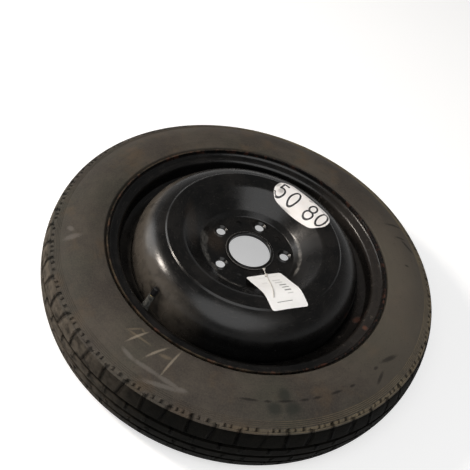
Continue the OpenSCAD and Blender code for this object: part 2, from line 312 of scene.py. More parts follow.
def stringMaterial():
    # twisted undyed cotton, a little dusty
    material, tree, shader = newMaterial("cotton_string")
    point = add(tree, "ShaderNodeTexCoord", {}).outputs["Object"]
    fibres = patches(tree, point, 0.0006, 0.3, 0.7)
    dirt = patches(tree, point, 0.012, 0.45, 0.75)
    base = layer(tree, dirt, layer(tree, fibres, "#b4afa7", "#dedad3"), "#a39c92")
    grimy = rise(tree, onWheel(tree)["radius"], 0.0395, 0.0375)
    feed(tree, shader, base=layer(tree, grimy, base, "#1f1c1a"))
    shader.inputs["Roughness"].default_value = 0.9
    shader.inputs["Sheen Weight"].default_value = 0.3
    bump(tree, shader, fibres, 0.0001)
    return material


def makeString(settings):
    material = stringMaterial()
    radius, height = settings["loopRadius"], settings["height"]
    points = []
    for i in range(settings["count"] + 1):
        angle = math.radians(settings["start"] + settings["sweep"] * i / settings["count"])
        points.append(Vector((radius * math.cos(angle), radius * math.sin(angle), height)) * millimetre)
    points += [Vector(p) * millimetre for p in settings["tail"]]
    route = smoothRoute(points, settings["step"] * millimetre)
    bm = bmesh.new()
    tube(bm, route, settings["diameter"] / 2 * millimetre, settings["sides"], settings["lobes"],
         settings["lobeDepth"] * millimetre, settings["twist"] * millimetre)
    string = finishMesh(bm, "tag_string_twisted", material, 60)
    knots = []
    for number, centre in enumerate(settings["knots"]):
        loop = []
        for i in range(settings["knotSteps"] + 1):
            t = 2 * math.pi * i / settings["knotSteps"]
            trefoil = Vector((math.sin(t) + 2 * math.sin(2 * t), math.cos(t) - 2 * math.cos(2 * t),
                              -0.9 * math.sin(3 * t)))
            loop.append((Vector(centre) + trefoil * settings["knotSize"]) * millimetre)
        bm = bmesh.new()
        tube(bm, loop, settings["diameter"] / 2 * millimetre, settings["knotSides"])
        knots.append(finishMesh(bm, f"string_knot_{number + 1}", material, 60))
    for piece in [string, *knots]:
        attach(piece, "wheel")
    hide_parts("tag_string")


makeString(cotton)


# Tag: a card that climbs the bowl and lies over the crown

print("tag")
tag = {"angle": -70.5, "shift": 3.5, "width": 57, "thickness": 0.3, "corner": 4, "hole": (55, 2.5),
       "holeRadius": 2.2, "path": [(49.5, 5.6, 0), (106, 39.9, 45), (137.5, 41.4, 0)], "top": 41.55,
       "sag": 0.25, "sagEase": 20, "curl": 1.1, "curlFrom": 122, "steps": (2, 3), "planSize": 100,
       "bars": [((59, 2), (28, 1.3), 0.2), ((72, 9), (13, 3), 0.3), ((79, 9), (12, 2.4), 0.4),
                ((87, 11), (11, 2.6), 0.85), ((94.5, 11), (11, 2.4), 0.8), ((102.5, 10.5), (10, 3), 0.8),
                ((110, 11), (9, 1.8), 0.4), ((76, -12), (9, 5), 0.12), ((124, -4), (24, 1.1), 0.95)]}


def tagMaterial(settings):
    # coated white card with plain printed bars, handled and a little creased
    material, tree, shader = newMaterial("tag_card")
    spot = add(tree, "ShaderNodeUVMap", {}, uv_map="plan").outputs[0]
    parts = add(tree, "ShaderNodeSeparateXYZ", {0: spot}).outputs
    low, size = settings["path"][0][0], settings["planSize"]
    bars = []
    for (s, t), (wide, tall), strength in settings["bars"]:
        along = band(tree, parts[0], (s - low - tall / 2) / size, (s - low + tall / 2) / size, 0.002)
        across = band(tree, parts[1], (t - wide / 2) / size + 0.5, (t + wide / 2) / size + 0.5, 0.003)
        bars.append(product(tree, along, across, strength))
    printed = largest(tree, *bars)
    point = add(tree, "ShaderNodeTexCoord", {}).outputs["Object"]
    handled = patches(tree, point, 0.03, 0.45, 0.8)
    patchesAndArcs = patches(tree, point, 0.0015, 0.2, 0.5)
    base = layer(tree, product(tree, handled, 0.25), "#fbfbfa", "#dcdad5")
    feed(tree, shader, base=layer(tree, product(tree, printed, patchesAndArcs), base, "#2e2e30"))
    shader.inputs["Roughness"].default_value = 0.55
    bump(tree, shader, patches(tree, point, 0.018, 0.2, 0.8), 0.0006, 0.5)
    return material


def tagHeight(settings, s):
    points = rounded(settings["path"], 2)
    for a, b in zip(points, points[1:]):
        if s <= b.x:
            return a.y + (b.y - a.y) * (s - a.x) / (b.x - a.x)
    return points[-1].y


def makeTag(settings):
    low, high = settings["path"][0][0], settings["path"][-1][0]
    half, corner = settings["width"] / 2, settings["corner"]
    bm = bmesh.new()

    def ring(points):
        verts = [bm.verts.new((*p, 0)) for p in points]
        return [bm.edges.new((a, b)) for a, b in zip(verts, verts[1:] + verts[:1])]

    outline = []
    for s, t, start in ((high - corner, half - corner, 0), (low + corner, half - corner, 90),
                        (low + corner, corner - half, 180), (high - corner, corner - half, 270)):
        for i in range(7):
            angle = math.radians(start + i * 15)
            outline.append((s + corner * math.cos(angle), t + corner * math.sin(angle)))
    holeS, holeT = settings["hole"]
    hole = [(holeS + settings["holeRadius"] * math.cos(math.radians(i * 15)),
             holeT + settings["holeRadius"] * math.sin(math.radians(i * 15))) for i in range(24)]
    edges = ring(outline) + ring(hole)
    bmesh.ops.triangle_fill(bm, edges=edges, use_beauty=True, normal=(0, 0, 1))
    alongStep, acrossStep = settings["steps"]
    for axis, start, end, step in ((0, low, high, alongStep), (1, -half, half, acrossStep)):
        cut = start + step
        while cut < end:
            where = [0, 0, 0]
            where[axis] = cut
            normal = [0, 0, 0]
            normal[axis] = 1
            bmesh.ops.bisect_plane(bm, geom=bm.verts[:] + bm.edges[:] + bm.faces[:], dist=0.01,
                                   plane_co=where, plane_no=normal)
            cut += step
    area = 0
    for face in bm.faces:
        middle = face.calc_center_median().x
        slope = tagHeight(settings, middle + 0.5) - tagHeight(settings, middle - 0.5)
        area += face.calc_area() * math.hypot(1, slope)
    plan = bm.loops.layers.uv.new("plan")
    for face in bm.faces:
        for loop in face.loops:
            loop[plan].uv = ((loop.vert.co.x - low) / settings["planSize"],
                             loop.vert.co.y / settings["planSize"] + 0.5)
    angle = math.radians(settings["angle"])
    outward = Vector((math.cos(angle), math.sin(angle), 0))
    sideways = Vector((-math.sin(angle), math.cos(angle), 0))
    for vert in bm.verts:
        s, t = vert.co.x, vert.co.y
        sag = settings["sag"] * math.sin(s / 9 + t / 14) * min(1, (s - low) / settings["sagEase"])
        curled = max(0, (s - settings["curlFrom"]) / (high - settings["curlFrom"]))
        curl = settings["curl"] * curled ** 2 * max(0, t / half)
        height = min(tagHeight(settings, s) + sag - curl, settings["top"])
        vert.co = (outward * s + sideways * (t + settings["shift"]) + Vector((0, 0, height))) * millimetre
    bmesh.ops.recalc_face_normals(bm, faces=bm.faces)
    bmesh.ops.solidify(bm, geom=bm.faces[:], thickness=settings["thickness"] * millimetre)
    points = rounded(settings["path"], 2)
    piece = finishMesh(bm, "stock_tag_card", tagMaterial(settings))
    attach(piece, "wheel")
    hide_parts("stock_tag")
    print("tag flat", settings["width"], round(routeLength(points), 1), "area", round(area, 1))


makeTag(tag)


# Tyre

print("tyre")
# A pitch's columns, slots and notches are in degrees from its start. Heights are from the tyre's middle, and
# distances on the strip run from the tread's edge down the sidewall.
tyre = {"middle": -50, "crownRadius": 310.93, "crownCurve": 260, "pairs": 29, "start": -86.6,
        "pitches": [{"start": 0, "columns": [0, 0.75, 1.45, 1.95, 2.27, 2.86, 3.62, 3.9, 4.36, 5],
                     "lowerRibSlot": (3.9, 4.36), "notches": [(1.95, 2.27), (3.62, 3.9)]},
                    {"start": 5.6, "columns": [0, 0.75, 1.45, 2.27, 2.6, 2.86, 3.8, 4.36, 4.66, 5.7],
                     "lowerRibSlot": (3.8, 4.36), "notches": [(2.27, 2.6), (4.36, 4.66)]}],
        "slot": (0, 0.75), "lowerSlot": (1.45, 2.27), "lowerNotch": (1.45, 1.95), "ribSlot": (2.27, 2.86),
        "treadLine": [(0, 1), (2.6, 1), (3, 0), (6, 0), (11, 0), (16, 0), (16.4, 1), (21.6, 1), (22, 0),
                      (27, 0), (33.5, 0)],
        "shoulder": 39.6, "grooveDepth": 4.5, "floorStart": (305.8, 22), "floorSlope": 0.298,
        "slotStart": 21.3, "slotEnd": 5.3, "slotLimit": 290, "ribHeights": (6, 16.3), "ribSlotFloor": 306.8,
        "ribLimit": 304.9, "lean": 1.2, "leanFrom": (21, 46), "leanWidth": 0.8, "leanReach": 2.6,
        "leanLimit": 297, "lowerTurn": 1.5, "stripStart": (302.8, 45), "stripWay": (-0.879, 0.475),
        "stripNormal": (0.475, 0.88), "ridge": (2, 3.8, 0.5), "serrations": (4.3, 8.8, 0.9),
        "rings": [10.5, 13, 15.5, 18], "ringHeight": 0.45, "ringHalf": 0.55, "sidewallStart": 20.5,
        "sidewall": (259.9, 68.2, 75), "beadTop": (223.8, 62.8, 2),
        "bead": [(220.6, 50.65, 9.8), (202.95, 50.65, 5.05), (201.45, 33.65, 1.5), (207.95, 34.65, 3),
                 (222.95, 45.65, 14), (259.9, 60.2, 62), (296, 41, 12), (297.9, 26, 0)],
        "liner": [(300.1, 10), (300.5, 0)], "treadEdge": 302.3}


def stripPoint(settings, distance, raised=0):
    start, way, normal = (Vector(settings[k]) for k in ("stripStart", "stripWay", "stripNormal"))
    return start + way * distance + normal * raised


# Outline of half the tyre from the middle of the tread round the bead to the middle of the liner
def tyreProfile(settings):
    def crown(h, depth=0):
        return Vector((settings["crownRadius"] - h * h / settings["crownCurve"] - depth, h))

    def strip(distance, raised=0):
        return stripPoint(settings, distance, raised)

    points = [crown(height, share * settings["grooveDepth"]) for height, share in settings["treadLine"]]
    low, high, raised = settings["ridge"]
    points += rounded([(*crown(settings["shoulder"]), 0), (*settings["stripStart"], 5), (*strip(low), 0)], 16)
    points += [strip(low + 0.3, raised), strip(high - 0.3, raised), strip(high)]
    points += [strip(settings["serrations"][0]), strip(settings["slotEnd"]), strip(settings["serrations"][1])]
    for distance in settings["rings"]:
        points += [strip(distance - settings["ringHalf"]), strip(distance, settings["ringHeight"]),
                   strip(distance + settings["ringHalf"])]
    sidewall, beadTop = settings["sidewall"], settings["beadTop"]
    points += rounded([(*strip(settings["sidewallStart"]), 0), sidewall, beadTop], 9)[:-1]
    points += rounded([sidewall, beadTop, *settings["bead"]], 26)[1:]
    return points + [Vector(point) for point in settings["liner"]]


def radiusOf(vert):
    return math.hypot(vert.co.x, vert.co.y)


def moveTo(vert, radius):
    scale = radius / radiusOf(vert)
    vert.co.x *= scale
    vert.co.y *= scale


def cutSlots(bm, faces, floor):
    made = bmesh.ops.extrude_face_region(bm, geom=faces)
    for vert in (g for g in made["geom"] if isinstance(g, bmesh.types.BMVert)):
        floor(vert)
        for face in vert.link_faces:
            face.material_index = 1


def makeTyreMesh(settings):
    half = tyreProfile(settings)
    outline = half + [Vector((p.x, -p.y)) for p in half[-2:0:-1]]
    bm = bmesh.new()
    verts = [bm.verts.new((p.x, 0, p.y)) for p in outline]
    edges = [bm.edges.new((a, b)) for a, b in zip(verts, verts[1:] + verts[:1])]
    pairTurn = 360 / settings["pairs"]
    columns = [pitch["start"] + column for pitch in settings["pitches"] for column in pitch["columns"]]
    columns.append(pairTurn)
    geometry = edges
    for before, after in zip(columns, columns[1:]):
        spun = bmesh.ops.spin(bm, geom=geometry, cent=(0, 0, 0), axis=(0, 0, 1),
                              angle=math.radians(after - before), steps=1)
        geometry = spun["geom_last"]

    # Faces outside a radius, by the columns and the heights between which their middle lies
    def cells(start, turns, low, high, outer):
        found = []
        for face in bm.faces:
            middle = face.calc_center_median()
            angle = math.degrees(math.atan2(middle.y, middle.x)) % 360 - start
            if turns[0] < angle < turns[1] and low < middle.z < high and middle.xy.length > outer:
                found.append(face)
        return found

    floorRadius, floorHeight = settings["floorStart"]

    def shoulderFloor(vert):
        level = floorRadius - settings["floorSlope"] * (abs(vert.co.z) - floorHeight)
        if radiusOf(vert) > level:
            moveTo(vert, level)

    def ribFloor(vert):
        if radiusOf(vert) > settings["ribSlotFloor"]:
            moveTo(vert, settings["ribSlotFloor"])

    depth = settings["serrations"][2]
    normal = settings["stripNormal"]

    def serrationFloor(vert):
        moveTo(vert, radiusOf(vert) - depth * normal[0])
        vert.co.z -= math.copysign(depth * normal[1], vert.co.z)

    notchStart = stripPoint(settings, settings["serrations"][0]).y
    slotEnd = stripPoint(settings, settings["slotEnd"]).y
    notchEnd = stripPoint(settings, settings["serrations"][1]).y
    slotStart, limit = settings["slotStart"], settings["slotLimit"]
    ribLow, ribHigh = settings["ribHeights"]
    for pitch in settings["pitches"]:
        start = pitch["start"]
        cutSlots(bm, cells(start, settings["slot"], slotStart, slotEnd, limit), shoulderFloor)
        cutSlots(bm, cells(start, settings["lowerSlot"], -slotEnd, -slotStart, limit), shoulderFloor)
        cutSlots(bm, cells(start, settings["ribSlot"], ribLow, ribHigh, settings["ribLimit"]), ribFloor)
        cutSlots(bm, cells(start, pitch["lowerRibSlot"], -ribHigh, -ribLow, settings["ribLimit"]), ribFloor)
        for notch in pitch["notches"]:
            cutSlots(bm, cells(start, notch, notchStart, notchEnd, limit), serrationFloor)
            cutSlots(bm, cells(start, notch, -notchEnd, -notchStart, limit), serrationFloor)
        cutSlots(bm, cells(start, settings["slot"], slotEnd, notchEnd, limit), serrationFloor)
        cutSlots(bm, cells(start, settings["lowerNotch"], -notchEnd, -slotEnd, limit), serrationFloor)
    for face in bm.faces:
        if face.calc_center_median().xy.length > settings["treadEdge"]:
            face.material_index = 1
    one = bm.verts[:] + bm.edges[:] + bm.faces[:]
    for i in range(1, settings["pairs"]):
        copy = bmesh.ops.duplicate(bm, geom=one)["geom"]
        bmesh.ops.rotate(bm, verts=[g for g in copy if isinstance(g, bmesh.types.BMVert)], cent=(0, 0, 0),
                         matrix=Matrix.Rotation(math.radians(i * pairTurn), 3, "Z"))
    bmesh.ops.remove_doubles(bm, verts=bm.verts, dist=0.02)
    leanLow, leanHigh = settings["leanFrom"]
    for vert in bm.verts:
        height = abs(vert.co.z)
        if leanLow < height < leanHigh and radiusOf(vert) > settings["leanLimit"]:
            origin = 0 if vert.co.z > 0 else settings["lowerTurn"]
            angle = (math.degrees(math.atan2(vert.co.y, vert.co.x)) - origin + 4) % pairTurn - 4
            away = max(0, -angle, angle - settings["leanWidth"])
            share = max(0, 1 - away / settings["leanReach"]) * (leanHigh - height) / (leanHigh - leanLow)
            turn = -math.copysign(math.radians(settings["lean"]), vert.co.z) * share
            vert.co = Matrix.Rotation(turn, 3, "Z") @ vert.co
    bmesh.ops.rotate(bm, verts=bm.verts, cent=(0, 0, 0),
                     matrix=Matrix.Rotation(math.radians(settings["start"]), 3, "Z"))
    bmesh.ops.translate(bm, verts=bm.verts, vec=(0, 0, settings["middle"]))
    bmesh.ops.scale(bm, verts=bm.verts, vec=(millimetre,) * 3)
    return bm


# Marks seen on the tyre's outboard side, in millimetres in the wheel's plan
tyreMarks = {
    "chalk": [((-170, -197), (-146, -182), 3.4), ((-144, -218), (-119, -203), 3.4),
              ((-122, -240), (-100, -207), 3)],
    "faint": [((-172, -181), (-154, -177), 3), ((-154, -177), (-149, -183), 3),
              ((-171, -182), (-141, -201), 3), ((-127, -214), (-112, -219), 5)],
    "scuffs": [((-176, -208), (-160, -224), 5), ((-162, -222), (-124, -244), 5),
               ((-128, -242), (-98, -258), 5), ((-104, -257), (-88, -261), 5),
               ((-146, -248), (-96, -261), 5), ((-278, -36), (-256, -28), 9), ((-276, -12), (-268, -20), 7)],
    "scratches": [((180, -212), (189, -194), 4.4), ((235, 97), (268, 102), 5),
                  ((249, 71), (266, 72), 4), ((260, 66), (279, 47), 6), ((255, 11), (262, 10), 4),
                  ((189, -179), (213, -164), 6), ((175, -193), (181, -188), 4)],
    "stains": [((18, -270), (39, -271), 15), ((42, -269), (64, -265), 15), ((40, -242), (42, -262), 17)],
    "dashes": [(-91.5, 23), (-86, 9), (-80.5, 23), (-74.7, 12), (-70.7, 12), (-64, 17), (-58, 9)],
    # the ring and edge widths here are for pale lines of dust and painted highlight along the raised rings
    # and the tread's edge
    "dashRadius": 263.5, "dashWidth": 3.4, "ringDustAndSheen": 0.4, "edgeDustAndSheen": [(300.3, 0.8), (297.2, 1.6)]}


# Strokes that follow a ring round the axis, from their bearings and lengths
def ringStrokes(radius, width, dashes):
    strokes = []
    for bearing, length in dashes:
        half = math.degrees(length / radius) / 2
        ends = [math.radians(bearing - half), math.radians(bearing + half)]
        strokes.append((*[(radius * math.cos(a), radius * math.sin(a)) for a in ends], width))
    return strokes


def sidewallMaterial():
    # moulded rubber under patchy road dust, lighter towards the right, with painted highlights along the
    # raised rings on the right
    material, tree, shader = newMaterial("dusty_moulded_rubber")
    place = onWheel(tree)
    cloud = patches(tree, place["point"], 0.07, 0.35, 0.7)
    broad = patches(tree, place["point"], 0.13, 0.42, 0.66)
    streak = patches(tree, place["streaks"], 0.004, 0.45, 0.7)
    grain = patches(tree, place["point"], 0.0025, 0.35, 0.7)
    speck = patches(tree, place["point"], 0.004, 0.62, 0.72)
    # lighter towards the right of the sidewall
    lighterSide = product(tree, rise(tree, place["x"], 0.1, 0.26), rise(tree, place["y"], 0.2, 0))
    dust = layer(tree, cloud, "#35302b", "#48423a")
    dust = layer(tree, product(tree, broad, 0.6), dust, "#2d3027")
    dust = layer(tree, product(tree, patches(tree, place["point"], 0.045, 0.5, 0.72), 0.45), dust, "#54432f")
    dust = layer(tree, product(tree, streak, 0.25), dust, "#2c2824")
    dust = layer(tree, product(tree, grain, 0.35), dust, "#5a534b")
    dust = layer(tree, product(tree, lighterSide, 0.6), dust, "#5c554b")
    dust = layer(tree, product(tree, speck, 0.4), dust, "#211d1a")
    # dust and painted highlight: pale lines along the raised rings and the tread's edge, mostly on the right
    raised = [(stripPoint(tyre, distance).x, tyreMarks["ringDustAndSheen"]) for distance in tyre["rings"]]
    raised += tyreMarks["edgeDustAndSheen"]
    dustAndSheenLines = []
    for radius, half in raised:
        inner, outer = (radius - half) * millimetre, (radius + half) * millimetre
        dustAndSheenLines.append(band(tree, place["radius"], inner, outer, 0.0003))
    rings = largest(tree, *dustAndSheenLines)
    dust = layer(tree, product(tree, rings, patches(tree, place["point"], 0.03, 0.2, 0.6),
                               rise(tree, place["x"], -0.12, 0.12), 0.4), dust, "#84765b")
    dust = layer(tree, product(tree, marks(tree, place, tyreMarks["stains"]), 0.75), dust, "#20231e")
    dashes = ringStrokes(tyreMarks["dashRadius"], tyreMarks["dashWidth"], tyreMarks["dashes"])
    dust = layer(tree, product(tree, marks(tree, place, dashes), 0.8), dust, "#171411")
    dust = layer(tree, product(tree, marks(tree, place, tyreMarks["scuffs"]), 0.3), dust, "#7d7872")
    dust = layer(tree, product(tree, marks(tree, place, tyreMarks["scratches"]), 0.7), dust, "#171411")
    dust = layer(tree, product(tree, marks(tree, place, tyreMarks["faint"]), 0.22), dust, "#93836a")
    dust = layer(tree, product(tree, marks(tree, place, tyreMarks["chalk"]), 0.5), dust, "#9a8f7e")
    feed(tree, shader, base=dust, roughness=layer(tree, grain, 0.72, 0.9))
    shader.inputs["Specular IOR Level"].default_value = 0.3
    bump(tree, shader, grain, 0.0002, 0.6)
    return material


def treadMaterial():
    # worn black tread, paler and browner on the left near the crown; the slots cut into the sidewall take
    # this black too
    material, tree, shader = newMaterial("worn_tread_rubber")
    place = onWheel(tree)
    cloud = patches(tree, place["point"], 0.012, 0.15, 0.7, 5)
    height = add(tree, "ShaderNodeMath", {0: place["z"], 1: -tyre["middle"] * millimetre}).outputs[0]
    curve = product(tree, height, height, 1 / (tyre["crownCurve"] * millimetre))
    crown = add(tree, "ShaderNodeMath", {0: place["radius"], 1: curve}).outputs[0]
    # paler and browner towards the left of the tread's crown
    paleLeft = product(tree, rise(tree, place["x"], -0.12, -0.29), rise(tree, crown, 0.308, 0.3102), cloud)
    black = layer(tree, cloud, "#040403", "#0d0c09")
    feed(tree, shader, base=layer(tree, product(tree, paleLeft, 0.85), black, "#655d53"))
    shader.inputs["Roughness"].default_value = 0.85
    shader.inputs["Specular IOR Level"].default_value = 0.06
    bump(tree, shader, patches(tree, place["point"], 0.003, 0.35, 0.7), 0.0003, 0.7)
    return material


def makeTyre(settings):
    piece = finishMesh(makeTyreMesh(settings), "tyre_moulded", sidewallMaterial(), 28)
    piece.data.materials.append(treadMaterial())
    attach(piece, "wheel")
    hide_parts("tyre")
    print("tyre triangles", sum(len(p.vertices) - 2 for p in piece.data.polygons))


makeTyre(tyre)


# Label numbers, drawn as strokes and laid on the label

print("label")
label = {"height": 31, "width": 18.5, "stroke": 3.1, "lift": 0.06, "top": 60, "reading": -40,
         "digits": [("five", (47, 109.7)), ("zero", (67.1, 95.2)), ("eight", (93.5, 71.6)),
                    ("zero", (110.2, 56.9))],
         "margin": 2, "step": 1.2, "taper": 0.6,
         "smudges": [((42, 106), (50, 113), 9), ((36, 118), (46, 124), 7), ((36, 88), (60, 74), 7),
                     ((92, 96), (98, 92), 4)]}


def arc(centre, radii, start, end, count=28):
    points = []
    for i in range(count + 1):
        angle = math.radians(start + (end - start) * i / count)
        points.append(Vector(centre) + Vector((radii[0] * math.cos(angle), radii[1] * math.sin(angle))))
    return points


def digitStrokes(name):
    if name == "zero":
        return [arc((0, 0), (0.44, 0.5), 90, 450, 48)]
    if name == "eight":
        return [arc((0, 0.24), (0.38, 0.25), -90, 270, 40), arc((0, -0.25), (0.46, 0.26), 90, 450, 40)]
    bowl = arc((-0.02, -0.16), (0.47, 0.34), 128, -152, 40)
    return [[Vector((0.26, 0.5)), Vector((-0.26, 0.5))], [Vector((-0.26, 0.5)), bowl[0]], bowl]


def labelInk():
    material, tree, shader = newMaterial("label_ink")
    point = add(tree, "ShaderNodeTexCoord", {}).outputs["Object"]
    feed(tree, shader, base=layer(tree, patches(tree, point, 0.002, 0.35, 0.75), "#17171a", "#2c2c30"))
    shader.inputs["Roughness"].default_value = 0.45
    return material


def makeDigits(settings):
    film = nodes["speed_label"]
    surface = BVHTree.FromPolygons([vert.co for vert in film.data.vertices],
                                   [face.vertices[:] for face in film.data.polygons])
    turn = math.radians(settings["reading"])
    along = Vector((math.cos(turn), math.sin(turn)))
    upward = Vector((-math.sin(turn), math.cos(turn)))
    lift = settings["lift"] * millimetre
    halfStroke = settings["stroke"] / 2

    def laid(bm, point, centre):
        flat = (Vector(centre) + along * point.x + upward * point.y) * millimetre
        hit = surface.ray_cast(Vector((*flat, settings["top"] * millimetre)), Vector((0, 0, -1)))
        return bm.verts.new(hit[0] + hit[1] * lift) if hit[0] else None

    bm = bmesh.new()
    for name, centre in settings["digits"]:
        for stroke in digitStrokes(name):
            wide, tall = settings["width"] - settings["margin"], settings["height"] - settings["margin"]
            scaled = [Vector((p.x * wide, p.y * tall)) for p in stroke]
            dense = []
            for a, b in zip(scaled, scaled[1:]):
                count = max(1, math.ceil((b - a).length / settings["step"]))
                dense += [a + (b - a) * k / count for k in range(count)]
            dense.append(scaled[-1])
            ends = (unit(dense[1] - dense[0]), unit(dense[-1] - dense[-2]))
            tip = halfStroke * settings["taper"]
            dense = [dense[0] - ends[0] * tip] + dense + [dense[-1] + ends[1] * tip]
            rows = []
            for i, point in enumerate(dense):
                way = unit(dense[min(i + 1, len(dense) - 1)] - dense[max(i - 1, 0)])
                narrow = settings["taper"] if i in (0, len(dense) - 1) else 1
                side = Vector((-way.y, way.x)) * halfStroke * narrow
                rows.append([laid(bm, point + side * k, centre) for k in (-1, 0, 1)])
            for first, second in zip(rows, rows[1:]):
                for k in range(2):
                    corners = (first[k], second[k], second[k + 1], first[k + 1])
                    if None not in corners:
                        bm.faces.new(corners)
    loose = [v for v in bm.verts if not v.link_faces]
    bmesh.ops.delete(bm, geom=loose, context="VERTS")
    piece = finishMesh(bm, "label_numbers", labelInk())
    if sum(p.normal.z for p in piece.data.polygons) < 0:
        piece.data.flip_normals()
    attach(piece, "wheel")


makeDigits(label)


# Finishes of the CAD nodes

print("finishes")

# Marks seen on the painted steel, in millimetres in the plan; the painted highlights on the recess wall run
# round the axis
hubMarks = {
    "dust": [((-66, 30), (-46, -8), 26), ((-100, 46), (-92, -20), 20)],
    "rust": [((171, -88), (180, -80), 9), ((176, -137), (184, -131), 8), ((172, -118), (178, -114), 7)],
    "recessHighlights": [(74, 11, [(172, 22), (186, 22), (200, 24), (216, 22)]),
             (79.5, 4.4, [(16, 20), (2, 20), (-12, 20), (-26, 18)]), (85, 8, [(-122, 24), (-108, 20)])]}


def paintMaterial():
    # black dip enamel, dusty and finely scratched, with rust along the flange lip, and painted highlights on
    # the lip's edge, the recess wall and the dome's left wall
    material, tree, shader = newMaterial("black_dip_enamel")
    place = onWheel(tree)
    cloud = patches(tree, place["point"], 0.05, 0.35, 0.75)
    speck = patches(tree, place["point"], 0.0022, 0.66, 0.74, 4)
    streak = patches(tree, place["streaks"], 0.0016, 0.56, 0.7)
    facing = add(tree, "ShaderNodeNewGeometry", {}).outputs["Normal"]
    upward = rise(tree, add(tree, "ShaderNodeSeparateXYZ", {0: facing}).outputs[2], 0.2, 0.95)
    base = layer(tree, cloud, "#080808", "#0e0e0e")
    base = layer(tree, product(tree, upward, cloud, 0.035), base, "#6b6056")
    base = layer(tree, product(tree, streak, upward, 0.06), base, "#777069")
    base = layer(tree, product(tree, speck, 0.2), base, "#6f6a64")
    # dust and painted sheen: lighter on the left of the dome's outer wall only
    wall = band(tree, place["radius"], 0.158, 0.181, 0.006)
    lighterSide = product(tree, wall, rise(tree, place["x"], -0.06, -0.14))
    lighterSide = product(tree, lighterSide, patches(tree, place["point"], 0.02, 0.1, 0.6))
    base = layer(tree, product(tree, lighterSide, 0.44), base, "#71695f")
    base = layer(tree, product(tree, marks(tree, place, hubMarks["dust"]), 0.08), base, "#6d5a48")
    lip = rise(tree, place["radius"], 0.2155, 0.2195)
    lip = product(tree, lip, patches(tree, place["point"], 0.012, 0.5, 0.7))
    rust = largest(tree, product(tree, lip, 0.6), product(tree, marks(tree, place, hubMarks["rust"]), 0.85))
    base = layer(tree, rust, base, "#5a3322")
    # painted highlights: pale arcs on the lit parts of the recess wall round the hub pad
    patchesAndArcs = [stroke for ring in hubMarks["recessHighlights"] for stroke in ringStrokes(*ring)]
    recessHighlight = product(tree, marks(tree, place, patchesAndArcs), patches(tree, place["point"], 0.009, 0.2, 0.75), 0.6)
    base = layer(tree, recessHighlight, base, "#8d8983")
    # painted highlight in a rusty tone along the flange lip's edge, on the left side only
    edge = band(tree, place["radius"], 0.2182, 0.2205, 0.0006)
    edge = product(tree, edge, rise(tree, place["x"], 0.1, -0.1))
    edge = product(tree, edge, patches(tree, place["point"], 0.016, 0.3, 0.7))
    base = layer(tree, product(tree, edge, 0.35), base, "#6f614c")
    channel = band(tree, place["radius"], 0.186, 0.216, 0.004)
    channel = product(tree, channel, rise(tree, place["x"], 0.09, 0.18))
    base = layer(tree, product(tree, channel, 0.1), base, "#7a7068")
    spots = product(tree, channel, patches(tree, place["point"], 0.007, 0.6, 0.78))
    base = layer(tree, product(tree, spots, 0.3), base, "#8d8378")
    rough = layer(tree, cloud, 0.22, 0.32)
    rough = layer(tree, product(tree, speck, 0.7), rough, 0.8)
    feed(tree, shader, base=base, roughness=layer(tree, rust, rough, 0.9))
    shader.inputs["Specular IOR Level"].default_value = 0.34
    orange = add(tree, "ShaderNodeTexNoise", {"Vector": place["point"], "Scale": 260, "Detail": 2})
    bump(tree, shader, orange.outputs["Fac"], 0.00012, 0.5)
    return material


def weldMaterial():
    # enamel over rough weld metal, with rust at the ripples
    material, tree, shader = newMaterial("painted_weld")
    place = onWheel(tree)
    ripple = add(tree, "ShaderNodeTexWave", {"Vector": place["streaks"], "Scale": 900, "Distortion": 3},
                 bands_direction="Y").outputs["Fac"]
    rust = patches(tree, place["point"], 0.006, 0.5, 0.7)
    feed(tree, shader, base=layer(tree, rust, "#1b1a1a", "#4a2e20"))
    shader.inputs["Roughness"].default_value = 0.5
    bump(tree, shader, ripple, 0.0008)
    return material


def grainMaterial(name, dark, light, roughness, size, height, metallic=0):
    material, tree, shader = newMaterial(name)
    point = add(tree, "ShaderNodeTexCoord", {}).outputs["Object"]
    grain = patches(tree, point, size, 0.3, 0.7)
    feed(tree, shader, base=layer(tree, grain, dark, light))
    shader.inputs["Roughness"].default_value = roughness
    shader.inputs["Metallic"].default_value = metallic
    bump(tree, shader, grain, height)
    return material


# A turned metal or ribbed surface, with rings a pitch apart along the valve
def ringedMaterial(name, dark, light, roughness, pitch, height, metallic):
    material, tree, shader = newMaterial(name)
    point = add(tree, "ShaderNodeTexCoord", {}).outputs["Object"]
    lean = Vector(frame["joints"][1]["axis"])
    along = add(tree, "ShaderNodeVectorMath", {0: point, 1: lean}, operation="DOT_PRODUCT").outputs["Value"]
    phase = product(tree, along, 2 * math.pi / pitch)
    wave = add(tree, "ShaderNodeMath", {0: phase}, operation="SINE").outputs[0]
    tarnish = patches(tree, point, 0.003, 0.35, 0.7)
    feed(tree, shader, base=layer(tree, tarnish, dark, light))
    shader.inputs["Roughness"].default_value = roughness
    shader.inputs["Metallic"].default_value = metallic
    bump(tree, shader, wave, height)
    return material


def labelMaterial():
    # white vinyl film, slightly yellowed, with grey smudges at its left end
    material, tree, shader = newMaterial("label_vinyl")
    place = onWheel(tree)
    cloud = patches(tree, place["point"], 0.02, 0.4, 0.75)
    smudges = marks(tree, place, label["smudges"])
    base = layer(tree, product(tree, cloud, 0.35), "#f6f3f1", "#ebe2d8")
    feed(tree, shader, base=layer(tree, product(tree, smudges, 0.6), base, "#8f8b87"))
    shader.inputs["Roughness"].default_value = 0.4
    bump(tree, shader, patches(tree, place["point"], 0.006, 0.3, 0.7), 0.00015, 0.6)
    return material


# Rim and disc: rolled and pressed sheet with true arcs, so that the light runs smoothly over them

